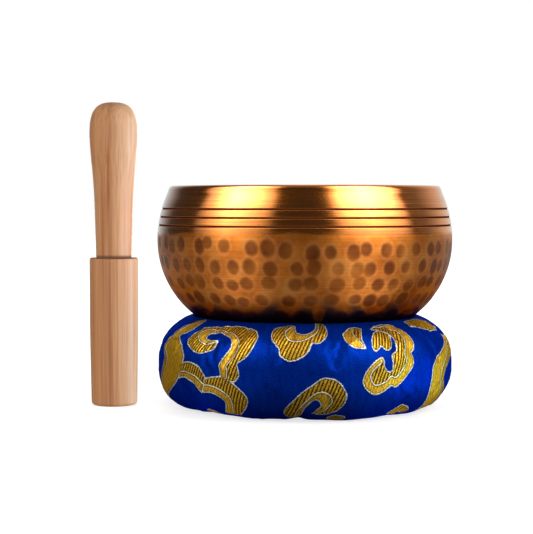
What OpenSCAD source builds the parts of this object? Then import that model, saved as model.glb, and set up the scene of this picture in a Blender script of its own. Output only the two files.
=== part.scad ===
// Singing bowl on a ring cushion, with its mallet standing beside it.
// Origin: centre of the cushion's underside, on the surface that everything stands on. +Z is up.
// The mallet stands on the -X side, and the cushion's sewn join is at the back, on the +Y side.

/* [Bowl] */
// Outside diameter at the belly, the widest place
bowl_d = 120; // [100:1:144]
// Height from the flat base to the top of the rim
bowl_h = 60.4; // [52:0.1:70]
// Height of the belly above the base, which is also the radius of the lower curve
belly_h = 38.5; // [33:0.5:45]
// Radius of the upper curve, from the belly in to the rim
shoulder_r = 46; // [38:1:56]
// Wall thickness
bowl_wall = 2.5; // [1.6:0.1:3.4]
// Thickness of the rounded lip
lip_d = 3; // [2.2:0.1:4.2]
// Number of turned grooves under the rim
groove_count = 3; // [1:1:4]
// Distance from the top of the rim down to the first groove
groove_drop = 9.2; // [6:0.1:11]
// Distance from one groove to the next
groove_pitch = 3.3; // [2.4:0.1:4]
// Depth of a groove
groove_depth = 0.4; // [0.2:0.05:0.7]

/* [Cushion] */
// Outside diameter of the ring
cushion_d = 120; // [100:1:144]
// Height of the ring's crest
cushion_h = 37.3; // [31:0.1:45]
// Diameter of the hole through the ring
hole_d = 36; // [28:0.5:44]
// Height of the bowl's base, where its weight has pressed the ring down
seat_h = 29.1; // [24:0.1:35]
// Gap between the bowl and the fabric that it rests on
seat_gap = 0.3; // [0.2:0.05:0.5]
// Radius of the outer lower edge
foot_round = 15; // [12:0.5:18]
// Radius of the outer upper edge
top_round = 17; // [14:0.5:20]
// Radius of both edges of the hole
hole_round = 9; // [7:0.5:10.5]
// Thickness of the brocade with its lining
cover_t = 0.7; // [0.5:0.05:1.2]
// Gap between the brocade and the stuffing
stuffing_gap = 0.1; // [0.05:0.05:0.3]

/* [Sewing] */
// Diameter of the sewing thread
thread_d = 0.5; // [0.3:0.05:0.7]
// Length of one stitch
stitch_l = 2.4; // [1.6:0.1:3.2]
// Gap between the strip's two long edges, where they meet inside the hole
slit_w = 0.4; // [0.2:0.05:0.6]
// Number of stitches that close the strip's long edges inside the hole
closing_stitch_count = 40; // [24:2:44]
// Distance between the stitches that join the strip's ends at the back
join_pitch = 2.7; // [2:0.1:4]
// Gap between the thread and the fabric under it
thread_gap = 0.12; // [0.05:0.01:0.2]

/* [Mallet] */
// Overall length
mallet_l = 123.5; // [102:0.5:148]
// Diameter of the lower grip
grip_d = 19.8; // [16:0.1:24]
// Diameter at the foot, which the grip narrows to over its lower half
foot_d = 18.7; // [15:0.1:20]
// Length of the lower grip
grip_l = 60.3; // [50:0.1:73]
// Diameter of the neck, just above the grip's step
neck_d = 14.4; // [12:0.1:17]
// Diameter of the head, at its widest
head_d = 19.4; // [16:0.1:24]
// Length of the head's rounded end, above its widest place
head_round_l = 13.5; // [11:0.5:16]
// Rounding of the foot's edge
foot_edge_r = 1.4; // [0.8:0.1:2.2]
// Rounding of the step's edge
step_edge_r = 0.7; // [0.4:0.1:1.2]
// Clear space between the mallet and whichever is wider, the bowl or the ring
mallet_gap = 8.1; // [4:0.1:30]

/* [Hidden] */
$fn = 96;

// Bowl: two arcs meet at the belly, and the base is flat inside the lower arc.
bowl_r = bowl_d / 2;
base_r = bowl_r - belly_h;
belly_z = seat_h + belly_h;
shoulder_x = bowl_r - shoulder_r;
rim_z = seat_h + bowl_h;
lip_path_r = shoulder_r - bowl_wall / 2;
lip_angle = asin((rim_z - lip_d / 2 - belly_z) / lip_path_r);

// Cushion: the ring's section is four rounded corners, trimmed by the bowl that sits in it.
cushion_r = cushion_d / 2;
hole_r = hole_d / 2;
seat_r = belly_h + seat_gap;
top_r = min(top_round, cushion_h - foot_round - 1);
foot_x = cushion_r - foot_round;
crest_x = cushion_r - top_r;
crest_z = cushion_h - top_r;
hole_x = hole_r + hole_round;
// The fabric bulges above the seat at the hole by this much before the bowl trims it.
hole_bulge = 0.8;
hole_top = seat_z(hole_x) + hole_bulge;
slit_z = hole_top / 2;

// Mallet
grip_r = grip_d / 2;
mallet_x = -(max(bowl_r, cushion_r) + mallet_gap + grip_r);
head_z = mallet_l - head_round_l;
neck_l = head_z - grip_l;
taper_z = grip_l / 2;
head_fullness = 2.9;
neck_steps = 24;
dome_steps = 18;
edge_steps = 5;

// Height of the seat at distance x from the axis
function seat_z(x) = belly_z - sqrt(pow(seat_r, 2) - pow(max(0, x - base_r), 2));

// Points on an arc from angle a0 to angle a1
function arc(cx, cz, r, a0, a1, steps) =
    [for (i = [0:steps]) let (a = a0 + (a1 - a0) * i / steps) [cx + r * cos(a), cz + r * sin(a)]];

// Radius of the mallet's upper part between the step (u = 0) and the head (u = 1):
// half of the swelling is even, and the rest comes close under the head.
function ease(u) = u * u * (3 - 2 * u);
function swell(u) = (neck_d + (head_d - neck_d) * (u + pow(ease(u), 3.7)) / 2) / 2;

// Radius of the mallet's rounded end at the share v of its length
function dome(v) = head_d / 2 * pow(1 - pow(v, head_fullness), 1 / head_fullness);

// One quarter of a disc, on the side that sx and sz name
module quarter(cx, cz, r, sx, sz) {
    translate([cx, cz])
        intersection() {
            circle(r = r);
            polygon([[0, 0], [2 * r * sx, 0], [2 * r * sx, 2 * r * sz], [0, 2 * r * sz]]);
        }
}

// The wedge of a band of thickness t, from angle 0 up to the angle a
module band_up(cx, cz, r, t, a) {
    translate([cx, cz])
        intersection() {
            difference() {
                circle(r = r);
                circle(r = r - t);
            }
            polygon([[0, 0], [2 * r, 0], 2 * r * [cos(a), sin(a)]]);
        }
}

// The side view of the bowl's wall, right of its axis
module bowl_wall_shape() {
    translate([0, seat_h])
        square([base_r, bowl_wall]);
    difference() {
        quarter(base_r, belly_z, belly_h, 1, -1);
        quarter(base_r, belly_z, belly_h - bowl_wall, 1, -1);
    }
    band_up(shoulder_x, belly_z, shoulder_r, bowl_wall, lip_angle);
    translate([shoulder_x, belly_z] + lip_path_r * [cos(lip_angle), sin(lip_angle)])
        circle(d = lip_d);
}

// The ring's section, drawn in from its surface by inset
module ring_section(inset) {
    difference() {
        union() {
            quarter(foot_x, foot_round, foot_round - inset, 1, -1);
            quarter(crest_x, crest_z, top_r - inset, 1, 1);
            quarter(hole_x, hole_round, hole_round - inset, -1, -1);
            quarter(hole_x, hole_top - hole_round, hole_round - inset, -1, 1);
            polygon([
                [hole_x, inset], [foot_x, inset], [foot_x, foot_round],
                [cushion_r - inset, foot_round], [cushion_r - inset, crest_z], [crest_x, crest_z],
                [crest_x, cushion_h - inset], [hole_x, hole_top - inset], [hole_x, hole_top - hole_round],
                [hole_r + inset, hole_top - hole_round], [hole_r + inset, hole_round], [hole_x, hole_round]
            ]);
        }
        quarter(base_r, belly_z, seat_r + inset, 1, -1);
        translate([0, belly_z - seat_r - inset])
            square([base_r, seat_r + inset]);
    }
}

// A bar of thread across the join at the back. It lies on the fabric at (x, z), which faces the angle a.
// The join goes on under the bowl, where it is pressed flat, so no bar is made there.
module join_stitch(x, z, a) {
    lift = thread_d / 2 + thread_gap + pow(stitch_l / 2, 2) / (2 * x);
    if (norm([x - base_r, z - belly_z]) > seat_r + 2 * thread_d)
        translate([0, x + lift * cos(a), z + lift * sin(a)])
            rotate([0, 90, 0])
                cylinder(d = thread_d, h = stitch_l, center = true, $fn = 24);
}

module bowl() {
    color([0.72, 0.44, 0.15])
        rotate_extrude()
            difference() {
                bowl_wall_shape();
                for (i = [0:groove_count - 1]) {
                    rise = rim_z - groove_drop - i * groove_pitch - belly_z;
                    translate([shoulder_x + sqrt(pow(shoulder_r, 2) - pow(rise, 2)), belly_z + rise])
                        circle(r = groove_depth, $fn = 24);
                }
            }
}

module cushion_cover() {
    color([0.02, 0.16, 0.55])
        rotate_extrude()
            difference() {
                ring_section(0);
                ring_section(cover_t);
                translate([hole_r - cover_t, slit_z - slit_w / 2])
                    square([3 * cover_t, slit_w]);
            }
}

module stuffing() {
    color([0.93, 0.91, 0.86])
        rotate_extrude()
            ring_section(cover_t + stuffing_gap);
}

module closing_stitches() {
    color([0.05, 0.2, 0.5])
        for (i = [0:closing_stitch_count - 1])
            rotate([0, 0, (i + 0.5) * 360 / closing_stitch_count])
                translate([hole_r - thread_gap - thread_d / 2, 0, slit_z - stitch_l / 2])
                    cylinder(d = thread_d, h = stitch_l, $fn = 24);
}

module join_stitches() {
    foot_step = join_pitch / foot_round * 180 / PI;
    top_step = join_pitch / top_r * 180 / PI;
    color([0.05, 0.2, 0.5]) {
        for (a = [-foot_step / 2:-foot_step:-56])
            join_stitch(foot_x + foot_round * cos(a), foot_round + foot_round * sin(a), a);
        join_stitch(cushion_r, (foot_round + crest_z) / 2, 0);
        for (a = [top_step / 2:top_step:60])
            join_stitch(crest_x + top_r * cos(a), crest_z + top_r * sin(a), a);
    }
}

module mallet() {
    color([0.82, 0.63, 0.43])
        translate([mallet_x, 0, 0])
            rotate_extrude()
                polygon(concat(
                    [[0, 0]],
                    arc(foot_d / 2 - foot_edge_r, foot_edge_r, foot_edge_r, -90, 0, edge_steps),
                    [[grip_r, taper_z]],
                    arc(grip_r - step_edge_r, grip_l - step_edge_r, step_edge_r, 0, 90, edge_steps),
                    [for (i = [0:neck_steps]) let (u = i / neck_steps) [swell(u), grip_l + neck_l * u]],
                    [for (i = [1:dome_steps - 1]) let (v = sin(90 * i / dome_steps))
                        [dome(v), head_z + head_round_l * v]],
                    [[0, mallet_l]]
                ));
}

cushion_cover();
stuffing();
closing_stitches();
join_stitches();
bowl();
mallet();
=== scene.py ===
"""Looks for the singing bowl: a hammered bronze bowl on a brocade ring cushion, with its wooden mallet.

Lengths are in millimetres until a mesh is made, and metres from then on.
"""

import math

import bpy
import numpy as np
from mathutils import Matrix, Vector


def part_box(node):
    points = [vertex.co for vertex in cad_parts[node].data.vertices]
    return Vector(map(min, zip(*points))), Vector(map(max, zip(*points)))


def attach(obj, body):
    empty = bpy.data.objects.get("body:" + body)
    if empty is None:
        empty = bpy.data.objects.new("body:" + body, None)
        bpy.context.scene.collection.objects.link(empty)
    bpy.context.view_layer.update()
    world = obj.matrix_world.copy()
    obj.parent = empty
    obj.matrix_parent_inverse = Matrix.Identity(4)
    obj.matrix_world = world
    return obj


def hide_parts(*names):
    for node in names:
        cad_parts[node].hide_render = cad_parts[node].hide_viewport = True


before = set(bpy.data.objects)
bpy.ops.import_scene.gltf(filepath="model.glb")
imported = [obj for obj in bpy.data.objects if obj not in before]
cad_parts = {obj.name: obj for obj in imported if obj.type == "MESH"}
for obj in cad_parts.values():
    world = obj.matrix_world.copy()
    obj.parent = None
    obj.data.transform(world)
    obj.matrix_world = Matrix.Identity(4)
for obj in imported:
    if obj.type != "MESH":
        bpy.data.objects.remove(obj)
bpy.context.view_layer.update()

MM = 0.001
rng = np.random.default_rng(7)


def corners(node_name):
    """A CAD node's lowest and highest corner, in millimetres."""
    low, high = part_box(node_name)
    return np.array(low) / MM, np.array(high) / MM


BOWL_LOW, BOWL_HIGH = corners("bowl")
RING_HIGH = corners("cushion_cover")[1]
MALLET_LOW, MALLET_HIGH = corners("mallet")

# Bowl: two arcs meet at the belly. The lower one stands on a flat base.
BOWL_R = BOWL_HIGH[0]
BASE_Z = BOWL_LOW[2]
RIM_Z = BOWL_HIGH[2]
LOWER_ARC_R = 38.5
SHOULDER_R = 46.0
WALL = 2.5
LIP_D = 3.0
BASE_R = BOWL_R - LOWER_ARC_R
BELLY_Z = BASE_Z + LOWER_ARC_R
SHOULDER_X = BOWL_R - SHOULDER_R
LIP_PATH_R = SHOULDER_R - WALL / 2
LIP_ANGLE = math.asin((RIM_Z - LIP_D / 2 - BELLY_Z) / LIP_PATH_R)
GROOVE_Z = [RIM_Z - 9.2 - 3.3 * i for i in range(3)]
GROOVE_DEPTH = 0.34
GROOVE_HALF = 0.42
# The lathe's polish ends at this height, where the hammered part begins.
POLISH_END_Z = 71.0
# From one blow to the next in a row, and how deep a blow is
BLOW_PITCH = 7.9
BLOW_DEPTH = 0.15
BOWL_SEGMENTS = 480

# Cushion: the ring's section has four rounded corners, and the bowl presses its seat into it.
RING_R = RING_HIGH[0]
RING_H = RING_HIGH[2]
HOLE_R = 18.0
FOOT_ROUND = 15.0
TOP_ROUND = 17.0
HOLE_ROUND = 9.0
SEAT_GAP = 0.3
HOLE_TOP = 29.99
SLIT_Z = HOLE_TOP / 2
SLIT_W = 0.4
CLOTH = 0.7
THREAD_D = 0.5
STITCH_L = 2.4
THREAD_GAP = 0.12
CLOSING_COUNT = 40
JOIN_PITCH = 2.7
# Fewest millimetres between a join stitch's middle and the bowl
JOIN_CLEAR = 1.3
GATHER_COUNT = 36
COVER_COLUMNS = 560
WADDING_COLUMNS, WADDING_ROWS = 180, 60

# Cloth simulation of the cover, run ten times larger than life, which its settings suit
PUFF_COLUMNS, PUFF_ROWS = 200, 64
PUFF_SCALE = 10
PUFF_FRAMES = 20
# The most that a wrinkle may stand off, and that the even swelling may add
PUFF_CAP = 0.7
PUFF_SWELL = 0.4

# Mallet
MALLET_X = (MALLET_LOW[0] + MALLET_HIGH[0]) / 2
MALLET_L = MALLET_HIGH[2]
GRIP_R = (MALLET_HIGH[0] - MALLET_LOW[0]) / 2
FOOT_R = 9.35
GRIP_L = 60.3
NECK_D = 14.4
HEAD_D = 19.4
HEAD_Z = MALLET_L - 13.5
FOOT_EDGE = 1.4
STEP_EDGE = 0.7
# How full the mallet's rounded end is: 2 would be a plain ellipse
HEAD_FULLNESS = 2.9

# Studio, in metres and degrees
BOWL_LEVEL = 0.075
PANEL_GLOW = 11.0
CAMERA_AT = (-0.01554, -0.609, 0.0834)
CAMERA_DOWN = 2.54
CAMERA_LENS = 100.4


# ---------------------------------------------------------------- helpers

def linear(hex_colour):
    """'#rrggbb' in sRGB, as the linear colour that a socket takes."""
    parts = [int(hex_colour[i:i + 2], 16) / 255 for i in (1, 3, 5)]
    return tuple(c / 12.92 if c <= 0.04045 else ((c + 0.055) / 1.055) ** 2.4 for c in parts) + (1.0,)


def node(tree, kind, links=None, ramp=None, **settings):
    """Adds a node with its settings, and sets each input to a value or links it from a node or a socket.

    The kind is Blender's own name for it, with ShaderNode left out.
    """
    shared = kind.startswith(("GeometryNode", "FunctionNode", "NodeGroup"))
    made = tree.nodes.new(kind if shared else "ShaderNode" + kind)
    for name, value in settings.items():
        setattr(made, name, value)
    if ramp:
        stops = made.color_ramp.elements
        while len(stops) < len(ramp):
            stops.new(0.5)
        for stop, (place, colour) in zip(stops, ramp):
            stop.position = place
            stop.color = linear(colour) if isinstance(colour, str) else (colour, colour, colour, 1)
    for key, value in (links or {}).items():
        if isinstance(value, bpy.types.Node):
            value = next(out for out in value.outputs if out.enabled)
        if isinstance(value, bpy.types.NodeSocket):
            tree.links.new(value, made.inputs[key])
        else:
            made.inputs[key].default_value = value
    return made


def new_material(name):
    """A material with an empty tree, and the tree."""
    made = bpy.data.materials.new(name)
    made.use_nodes = True
    made.node_tree.nodes.clear()
    return made, made.node_tree


def smooth(x, low, high):
    """0 below low, 1 above high, and an even curve between."""
    t = np.clip((np.asarray(x, float) - low) / (high - low), 0, 1)
    return t * t * (3 - 2 * t)


def arc(cx, cz, r, a0, a1, step):
    """Points on an arc, from angle a0 to angle a1 in degrees, about one step apart."""
    count = max(2, int(round(abs(math.radians(a1 - a0)) * r / step)) + 1)
    a = np.radians(np.linspace(a0, a1, count))
    return np.stack([cx + r * np.cos(a), cz + r * np.sin(a)], 1)


def line(start, end, step):
    """Points on a straight line, about one step apart."""
    count = max(2, int(round(math.dist(start, end) / step)) + 1)
    return np.linspace(start, end, count)


def joined(*runs):
    """Runs of points end to end, without the doubled ones where they meet."""
    points = np.concatenate(runs)
    keep = np.ones(len(points), bool)
    keep[1:] = np.linalg.norm(np.diff(points, axis=0), axis=1) > 1e-4
    return points[keep]


def lengths(points):
    """How far along a run each of its points is."""
    return np.concatenate([[0], np.cumsum(np.linalg.norm(np.diff(points, axis=0), axis=1))])


def along(points, at):
    """The points at these distances along a run."""
    s = lengths(points)
    return np.stack([np.interp(at, s, points[:, k]) for k in range(points.shape[1])], 1)


def between(p0, p1, p2, p3, t):
    """The place at the share t of the way from p1 to p2, on a smooth curve through all four."""
    return 0.5 * (2 * p1 + (p2 - p0) * t + (2 * p0 - 5 * p1 + 4 * p2 - p3) * t ** 2
                  + (3 * p1 - p0 - 3 * p2 + p3) * t ** 3)


def new_object(name, points, faces=(), edges=(), material=None):
    """A mesh object from points in millimetres."""
    mesh = bpy.data.meshes.new(name)
    mesh.from_pydata((np.asarray(points, float) * MM).tolist(), list(edges), list(faces))
    mesh.update()
    made = bpy.data.objects.new(name, mesh)
    bpy.context.scene.collection.objects.link(made)
    if len(mesh.polygons):
        mesh.polygons.foreach_set("use_smooth", np.ones(len(mesh.polygons), bool))
    if material:
        mesh.materials.append(material)
    return made


def write_values(mesh, name, values):
    """A value for each vertex, which the material reads by name."""
    values = np.asarray(values, np.float32)
    kind = "FLOAT_VECTOR" if values.ndim == 2 else "FLOAT"
    made = mesh.attributes.new(name, kind, "POINT")
    made.data.foreach_set("vector" if values.ndim == 2 else "value", values.ravel())


def read_values(mesh, name):
    values = np.zeros(len(mesh.vertices), np.float32)
    mesh.attributes[name].data.foreach_get("value", values)
    return values


def read_points(mesh):
    points = np.zeros(len(mesh.vertices) * 3, np.float32)
    mesh.vertices.foreach_get("co", points)
    return points.reshape(-1, 3) / MM


def new_tree(name, inputs):
    """A Geometry Nodes tree with these named inputs: {name: (socket kind, value)}."""
    tree = bpy.data.node_groups.new(name, "GeometryNodeTree")
    tree.interface.new_socket("Geometry", in_out="INPUT", socket_type="NodeSocketGeometry")
    for label, (kind, value) in inputs.items():
        socket = tree.interface.new_socket(label, in_out="INPUT", socket_type="NodeSocket" + kind)
        if value is not None:
            socket.default_value = value
    tree.interface.new_socket("Geometry", in_out="OUTPUT", socket_type="NodeSocketGeometry")
    return tree, tree.nodes.new("NodeGroupInput").outputs


def add_tree(obj, tree, values):
    """Puts the tree on the object, with each named input set by its identifier."""
    modifier = obj.modifiers.new(tree.name, "NODES")
    modifier.node_group = tree
    for item in tree.interface.items_tree:
        if item.item_type == "SOCKET" and item.in_out == "INPUT" and item.name in values:
            modifier[item.identifier] = values[item.name]


def bake(obj, name):
    """The object's evaluated shape as a plain mesh object. What it was made from is removed."""
    bpy.context.view_layer.update()
    graph = bpy.context.evaluated_depsgraph_get()
    mesh = bpy.data.meshes.new_from_object(obj.evaluated_get(graph))
    mesh.name = name
    made = bpy.data.objects.new(name, mesh)
    bpy.context.scene.collection.objects.link(made)
    bpy.data.objects.remove(obj)
    return made


def place(piece, body, replaced, slot):
    """The piece moves with the body and stands for the CAD node. The slot is not used."""
    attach(piece, body)
    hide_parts(replaced)


# ---------------------------------------------------------------- turned and hammered work

def turning_tree():
    """Turns a profile, whose points are (radius, 0, height), round the vertical axis at Centre."""
    tree, given = new_tree("turning", {
        "Segments": ("Int", 96), "Centre": ("Float", 0.0), "Material": ("Material", None)})
    count = node(tree, "GeometryNodeAttributeDomainSize", {"Geometry": given["Geometry"]}, component="MESH")
    columns = node(tree, "Math", {0: given["Segments"], 1: 1.0}, operation="ADD")
    grid = node(tree, "GeometryNodeMeshGrid", {
        "Size X": 1.0, "Size Y": 1.0, "Vertices X": columns, "Vertices Y": count.outputs["Point Count"]})
    split = node(tree, "SeparateXYZ", {0: node(tree, "GeometryNodeInputPosition")})
    turn = node(tree, "Math", {0: split.outputs["X"], 1: 0.75}, operation="ADD")
    angle = node(tree, "Math", {0: turn, 1: 2 * math.pi}, operation="MULTIPLY")
    last = node(tree, "Math", {0: count.outputs["Point Count"], 1: 1.0}, operation="SUBTRACT")
    share = node(tree, "Math", {0: split.outputs["Y"], 1: 0.5}, operation="ADD")
    row = node(tree, "Math", {0: share, 1: last}, operation="MULTIPLY")
    index = node(tree, "FunctionNodeFloatToInt", {0: row}, rounding_mode="ROUND")
    point = node(tree, "GeometryNodeSampleIndex", {
        "Geometry": given["Geometry"], "Value": node(tree, "GeometryNodeInputPosition"), "Index": index},
        data_type="FLOAT_VECTOR", domain="POINT")
    profile = node(tree, "SeparateXYZ", {0: point})
    cosine = node(tree, "Math", {0: angle}, operation="COSINE")
    sine = node(tree, "Math", {0: angle}, operation="SINE")
    x = node(tree, "Math", {0: profile.outputs["X"], 1: cosine, 2: given["Centre"]},
             operation="MULTIPLY_ADD")
    y = node(tree, "Math", {0: profile.outputs["X"], 1: sine}, operation="MULTIPLY")
    place_at = node(tree, "CombineXYZ", {"X": x, "Y": y, "Z": profile.outputs["Z"]})
    named = node(tree, "GeometryNodeInputNamedAttribute", {"Name": "path"}, data_type="FLOAT")
    path = node(tree, "GeometryNodeSampleIndex", {
        "Geometry": given["Geometry"], "Value": named, "Index": index}, data_type="FLOAT", domain="POINT")
    kept = node(tree, "GeometryNodeStoreNamedAttribute", {
        "Geometry": grid.outputs["Mesh"], "Name": "path", "Value": path}, data_type="FLOAT", domain="POINT")
    turned = node(tree, "GeometryNodeSetPosition", {"Geometry": kept, "Position": place_at})
    closed = node(tree, "GeometryNodeMergeByDistance", {"Geometry": turned, "Distance": 2e-6})
    shaded = node(tree, "GeometryNodeSetShadeSmooth", {"Geometry": closed, "Shade Smooth": True})
    real = node(tree, "GeometryNodeRealizeInstances", {"Geometry": shaded})
    finish = node(tree, "GeometryNodeSetMaterial", {"Geometry": real, "Material": given["Material"]})
    node(tree, "NodeGroupOutput", {"Geometry": finish})
    return tree


def hammering_tree():
    """Dents the surface at each point of the object Blows.

    A blow's point holds its size, which is half its width, half its height and its strength, and across,
    the way that its width runs. The distance from the nearest blow is kept as mark: 1 is its edge.
    """
    tree, given = new_tree("hammering", {
        "Blows": ("Object", None), "Depth": ("Float", BLOW_DEPTH * MM), "Material": ("Material", None)})
    blows = node(tree, "GeometryNodeObjectInfo", {"Object": given["Blows"]}, transform_space="ORIGINAL")
    here = node(tree, "GeometryNodeInputPosition")
    nearest = node(tree, "GeometryNodeSampleNearest", {
        "Geometry": blows.outputs["Geometry"], "Sample Position": here}, domain="POINT")

    def blow_value(field):
        """What the nearest blow's point holds."""
        return node(tree, "GeometryNodeSampleIndex", {
            "Geometry": blows.outputs["Geometry"], "Value": field, "Index": nearest},
            data_type="FLOAT_VECTOR", domain="POINT")

    centre = blow_value(node(tree, "GeometryNodeInputPosition"))
    size, across = (
        blow_value(node(tree, "GeometryNodeInputNamedAttribute", {"Name": name}, data_type="FLOAT_VECTOR"))
        for name in ("size", "across"))
    parts = node(tree, "SeparateXYZ", {0: size})
    offset = node(tree, "VectorMath", {0: here, 1: centre}, operation="SUBTRACT")
    normal = node(tree, "GeometryNodeInputNormal")
    up = node(tree, "VectorMath", {0: normal, 1: across}, operation="CROSS_PRODUCT")
    sideways = node(tree, "VectorMath", {0: offset, 1: across}, operation="DOT_PRODUCT")
    upwards = node(tree, "VectorMath", {0: offset, 1: up}, operation="DOT_PRODUCT")
    a = node(tree, "Math", {0: sideways.outputs["Value"], 1: parts.outputs["X"]}, operation="DIVIDE")
    b = node(tree, "Math", {0: upwards.outputs["Value"], 1: parts.outputs["Y"]}, operation="DIVIDE")
    radial = node(tree, "CombineXYZ", {"X": a, "Y": b})
    q = node(tree, "VectorMath", {0: radial}, operation="LENGTH").outputs["Value"]
    hollow = node(tree, "MapRange", {
        "Value": node(tree, "Math", {0: q, 1: q}, operation="MULTIPLY"),
        "From Min": 0.0, "From Max": 1.1, "To Min": 1.0, "To Max": 0.0}, clamp=True)
    strength = node(tree, "Math", {0: parts.outputs["Z"], 1: given["Depth"]}, operation="MULTIPLY")
    depth = node(tree, "Math", {0: hollow, 1: strength}, operation="MULTIPLY")
    inward = node(tree, "Math", {0: depth, 1: -1.0}, operation="MULTIPLY")
    outer = node(tree, "GeometryNodeInputNamedAttribute", {"Name": "hammered"}, data_type="FLOAT")
    held = node(tree, "Math", {0: inward, 1: outer}, operation="MULTIPLY")
    push = node(tree, "VectorMath", {0: normal, "Scale": held}, operation="SCALE")
    marked = node(tree, "GeometryNodeStoreNamedAttribute", {
        "Geometry": given["Geometry"], "Name": "mark", "Value": q}, data_type="FLOAT", domain="POINT")
    dented = node(tree, "GeometryNodeSetPosition", {"Geometry": marked, "Offset": push})
    real = node(tree, "GeometryNodeRealizeInstances", {"Geometry": dented})
    finish = node(tree, "GeometryNodeSetMaterial", {"Geometry": real, "Material": given["Material"]})
    node(tree, "NodeGroupOutput", {"Geometry": finish})
    return tree


def turned(name, profile, path, segments, centre, material, tree):
    """A turned piece. The profile runs from the axis to the axis, and path is a value kept along it."""
    points = np.stack([profile[:, 0], np.zeros(len(profile)), profile[:, 1]], 1)
    made = new_object(name + "_profile", points, edges=[(i, i + 1) for i in range(len(points) - 1)])
    write_values(made.data, "path", path)
    add_tree(made, tree, {"Segments": segments, "Centre": centre * MM, "Material": material})
    return made


# ---------------------------------------------------------------- bowl

def bowl_profile():
    """(radius, height) from the middle of the base, up the outside, over the lip, and down the inside."""
    tilt = math.degrees(LIP_ANGLE)
    base = line((0.0, BASE_Z), (BASE_R, BASE_Z), 2.4)
    lower = arc(BASE_R, BELLY_Z, LOWER_ARC_R, -90, 0, 0.68)
    a = np.degrees(np.arcsin((np.array(GROOVE_Z) - BELLY_Z) / SHOULDER_R))
    reach = math.degrees(GROOVE_HALF / SHOULDER_R)
    angles = [np.linspace(0, a.min() - reach, 10)]
    for centre in sorted(a):
        angles.append(centre + reach * np.linspace(-1, 1, 7))
        angles.append([centre - reach - 0.12, centre + reach + 0.12, centre + 2.05])
    angles.append(np.linspace(a.max() + reach + 0.9, tilt, 10))
    angles = np.unique(np.round(np.concatenate(angles), 5))
    off = np.min(np.abs(angles[:, None] - a[None, :]), 1) / reach
    half = WALL / 2 + (LIP_D - WALL) / 2 * smooth(angles, tilt - 3.2, tilt)
    r = LIP_PATH_R + half - GROOVE_DEPTH * np.sqrt(np.clip(1 - off ** 2, 0, 1))
    t = np.radians(angles)
    upper = np.stack([SHOULDER_X + r * np.cos(t), BELLY_Z + r * np.sin(t)], 1)
    lip_x = SHOULDER_X + LIP_PATH_R * math.cos(LIP_ANGLE)
    lip_z = BELLY_Z + LIP_PATH_R * math.sin(LIP_ANGLE)
    lip = arc(lip_x, lip_z, LIP_D / 2, tilt, tilt + 180, 0.45)
    down = np.linspace(tilt, 0, 12)
    half = WALL / 2 + (LIP_D - WALL) / 2 * smooth(down, tilt - 3.2, tilt)
    t = np.radians(down)
    r = LIP_PATH_R - half
    inner_top = np.stack([SHOULDER_X + r * np.cos(t), BELLY_Z + r * np.sin(t)], 1)
    inner_low = arc(BASE_R, BELLY_Z, LOWER_ARC_R - WALL, 0, -90, 2.2)
    floor_in = line((BASE_R, BASE_Z + WALL), (0.0, BASE_Z + WALL), 2.4)
    return joined(base, lower, upper, lip, inner_top, inner_low, floor_in)


# Each row of blows: its angle below the belly, and how many millimetres it hangs down everywhere but on
# the left, where the blows reach up to the turned part.
BLOW_ROWS = ((1.7, 1.9), (13.4, 0.6), (24.0, 0), (34.8, 0), (46.4, 0), (57.6, 0), (68.8, 0), (79.5, 0))


def hammer_blows():
    """The places of the blows: rows round the lower curve, each blow a little off its place."""
    places, sizes, sideways = [], [], []
    for k, (below, hang) in enumerate(BLOW_ROWS):
        r_row = BASE_R + LOWER_ARC_R * math.cos(math.radians(below))
        count = int(round(2 * math.pi * r_row / BLOW_PITCH))
        for i in range(count):
            spin = (i + 0.5 * (k % 2) + rng.uniform(-0.27, 0.27)) * 2 * math.pi / count
            left = smooth(-math.cos(spin), 0.15, 0.5)
            shift = rng.uniform(-0.9, 0.9) + hang * (1 - 1.15 * left)
            angle = math.radians(-below) - shift / LOWER_ARC_R
            r = BASE_R + LOWER_ARC_R * math.cos(angle)
            z = BELLY_Z + LOWER_ARC_R * math.sin(angle)
            places.append((r * math.cos(spin), r * math.sin(spin), z))
            tilt = rng.uniform(-0.3, 0.3)
            round_way = np.array([-math.sin(spin), math.cos(spin), 0])
            up_way = np.array([-math.sin(angle) * math.cos(spin), -math.sin(angle) * math.sin(spin),
                               math.cos(angle)])
            sideways.append(round_way * math.cos(tilt) + up_way * math.sin(tilt))
            half_w = rng.uniform(2.5, 3.1) + (0.25 if k > 1 else 0)
            half_h = half_w * (rng.uniform(0.9, 1.05) if k > 1 else rng.uniform(1.0, 1.25))
            sizes.append((half_w * MM, half_h * MM, rng.uniform(0.6, 1.3)))
    made = new_object("hammer_blows", places)
    write_values(made.data, "size", sizes)
    write_values(made.data, "across", sideways)
    return made


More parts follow.
